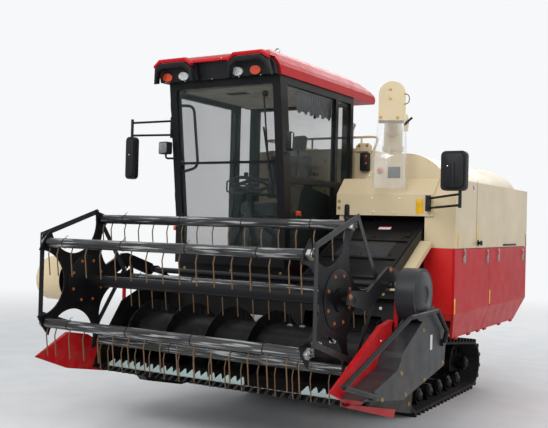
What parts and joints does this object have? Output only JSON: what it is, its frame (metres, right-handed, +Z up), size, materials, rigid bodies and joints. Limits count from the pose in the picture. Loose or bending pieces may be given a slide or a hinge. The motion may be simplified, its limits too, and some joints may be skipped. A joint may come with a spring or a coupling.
{
  "type": "combine harvester",
  "caption": "Tracked grain combine with a reel header on a lifting feeder house, glazed cab, threshing body, grain tank and slewing unloading tube.",
  "frame": {"origin": "middle of the overall length and width, on the ground under the tracks", "axes": "+X to the machine's left, +Y to its rear, +Z up"},
  "size_m": [2.76, 5.0973, 2.94],
  "materials": {
    "red_paint": "gloss",
    "cream_paint": "gloss",
    "black_paint": "satin",
    "grey_paint": "satin",
    "pale_paint": "satin",
    "steel": "brushed",
    "track_rubber": "matt",
    "glass": "clear",
    "film": "clear",
    "lamp": "gloss",
    "plastic": "matt",
    "seat_cloth": "matt"
  },
  "bodies": {
    "chassis": {"chassis_frame": "black_paint", "drive_axle": "grey_paint", "track_left": "track_rubber", "track_right": "track_rubber", "rollers": "steel", "thresher_body": "cream_paint", "thresher_cover": "cream_paint", "front_cover": "cream_paint", "side_drives": "steel", "straw_hood": "cream_paint", "grain_tank": "cream_paint", "fuel_tank": "plastic", "engine_block": "grey_paint", "engine_cover": "black_paint", "unload_riser": "cream_paint", "cab_frame": "black_paint", "cab_glass": "glass", "cab_roof": "red_paint", "roof_visor": "plastic", "roof_lamps": "lamp", "seat": "seat_cloth", "console": "plastic", "mirrors": "plastic", "side_steps": "black_paint"},
    "header": {"feeder_house": "black_paint", "feeder_guard": "cream_paint", "header_frame": "black_paint", "dividers": "red_paint", "cutter_bar": "pale_paint", "drive_cover": "grey_paint", "guard_rail": "grey_paint"},
    "knife_bar": {"knife": "steel"},
    "auger": {"feed_auger": "black_paint"},
    "arms": {"reel_arms": "black_paint"},
    "reel": {"reel_core": "black_paint"},
    "bat_a": {"bat_1": "black_paint"},
    "bat_b": {"bat_2": "black_paint"},
    "bat_c": {"bat_3": "black_paint"},
    "bat_d": {"bat_4": "black_paint"},
    "bat_e": {"bat_5": "black_paint"},
    "rings": {"reel_rings": "grey_paint"},
    "lift_tube": {"lift_barrel": "red_paint"},
    "lift_piston": {"lift_rod": "steel"},
    "reel_tubes": {"reel_barrels": "red_paint"},
    "reel_pistons": {"reel_rods": "steel"},
    "door": {"cab_door": "black_paint"},
    "hatch_front": {"side_door_front": "red_paint"},
    "hatch_rear": {"side_door_rear": "red_paint"},
    "unloader": {"unload_tube": "cream_paint", "chute_film": "film"}
  },
  "joints": [
    {"name": "header_lift", "type": "hinge", "parent": "chassis", "child": "header", "pos_m": [0, -0.02, 1.3], "axis": [-1, 0, 0], "range_deg": [-11, 8]},
    {"name": "lift_barrel_turn", "type": "hinge", "parent": "chassis", "child": "lift_tube", "pos_m": [0.29, -0.18, 0.3], "axis": [-1, 0, 0], "range_deg": [-9.63, 7.02]},
    {"name": "lift_rod_slide", "type": "slide", "parent": "lift_tube", "child": "lift_piston", "axis": [0, -0.9629, 0.27], "range_m": [-0.1928, 0.1403]},
    {"name": "knife_stroke", "type": "slide", "parent": "header", "child": "knife_bar", "axis": [1, 0, 0], "range_m": [-0.031, 0.031]},
    {"name": "auger_spin", "type": "hinge", "parent": "header", "child": "auger", "pos_m": [0, -1.25239, 0.6616], "axis": [1, 0, 0], "continuous": true},
    {"name": "reel_lift", "type": "hinge", "parent": "header", "child": "arms", "pos_m": [0, -1.12192, 1.13458], "axis": [-1, 0, 0], "range_deg": [0, 25]},
    {"name": "reel_barrel_turn", "type": "hinge", "parent": "header", "child": "reel_tubes", "pos_m": [0, -1.39832, 0.76566], "axis": [-1, 0, 0], "range_deg": [-0.05, 4.22]},
    {"name": "reel_rod_slide", "type": "slide", "parent": "reel_tubes", "child": "reel_pistons", "axis": [0, -0.0086, 1], "range_m": [-0.0005, 0.1182]},
    {"name": "reel_spin", "type": "hinge", "parent": "arms", "child": "reel", "pos_m": [0, -1.97021, 1.09218], "axis": [1, 0, 0], "continuous": true},
    {"name": "bat_1_turn", "type": "hinge", "parent": "reel", "child": "bat_a", "pos_m": [0, -2.35126, 1.36902], "axis": [1, 0, 0], "continuous": true},
    {"name": "bat_2_turn", "type": "hinge", "parent": "reel", "child": "bat_b", "pos_m": [0, -1.82466, 1.54012], "axis": [1, 0, 0], "continuous": true},
    {"name": "bat_3_turn", "type": "hinge", "parent": "reel", "child": "bat_c", "pos_m": [0, -1.49921, 1.09218], "axis": [1, 0, 0], "continuous": true},
    {"name": "bat_4_turn", "type": "hinge", "parent": "reel", "child": "bat_d", "pos_m": [0, -1.82466, 0.64423], "axis": [1, 0, 0], "continuous": true},
    {"name": "bat_5_turn", "type": "hinge", "parent": "reel", "child": "bat_e", "pos_m": [0, -2.35126, 0.81533], "axis": [1, 0, 0], "continuous": true},
    {"name": "ring_turn", "type": "hinge", "parent": "arms", "child": "rings", "pos_m": [0, -1.97021, 1.14718], "axis": [1, 0, 0], "continuous": true},
    {"name": "cab_door_hinge", "type": "hinge", "parent": "chassis", "child": "door", "pos_m": [-1.134, -0.785, 1.56], "axis": [0, -0.1176, 0.9931], "range_deg": [0, 80]},
    {"name": "front_hatch_hinge", "type": "hinge", "parent": "chassis", "child": "hatch_front", "pos_m": [1.095, 0.218, 0.66], "axis": [0, 1, 0], "range_deg": [0, 100]},
    {"name": "rear_hatch_hinge", "type": "hinge", "parent": "chassis", "child": "hatch_rear", "pos_m": [1.095, 1.285, 0.66], "axis": [0, 1, 0], "range_deg": [0, 100]},
    {"name": "unload_slew", "type": "hinge", "parent": "chassis", "child": "unloader", "pos_m": [-0.292, 1.88, 2.448], "axis": [0, 0, 1], "range_deg": [0, 120]}
  ],
  "couplings": [
    {"joint": "lift_barrel_turn", "follows": "header_lift", "ratio": 0.8711},
    {"joint": "lift_rod_slide", "follows": "header_lift", "m_per_rad": 1.0015},
    {"joint": "reel_barrel_turn", "follows": "reel_lift", "ratio": 0.167},
    {"joint": "reel_rod_slide", "follows": "reel_lift", "m_per_rad": 0.2697},
    {"joint": "bat_1_turn", "follows": "reel_spin", "ratio": -1},
    {"joint": "bat_2_turn", "follows": "reel_spin", "ratio": -1},
    {"joint": "bat_3_turn", "follows": "reel_spin", "ratio": -1},
    {"joint": "bat_4_turn", "follows": "reel_spin", "ratio": -1},
    {"joint": "bat_5_turn", "follows": "reel_spin", "ratio": -1},
    {"joint": "ring_turn", "follows": "reel_spin", "ratio": 1}
  ]
}
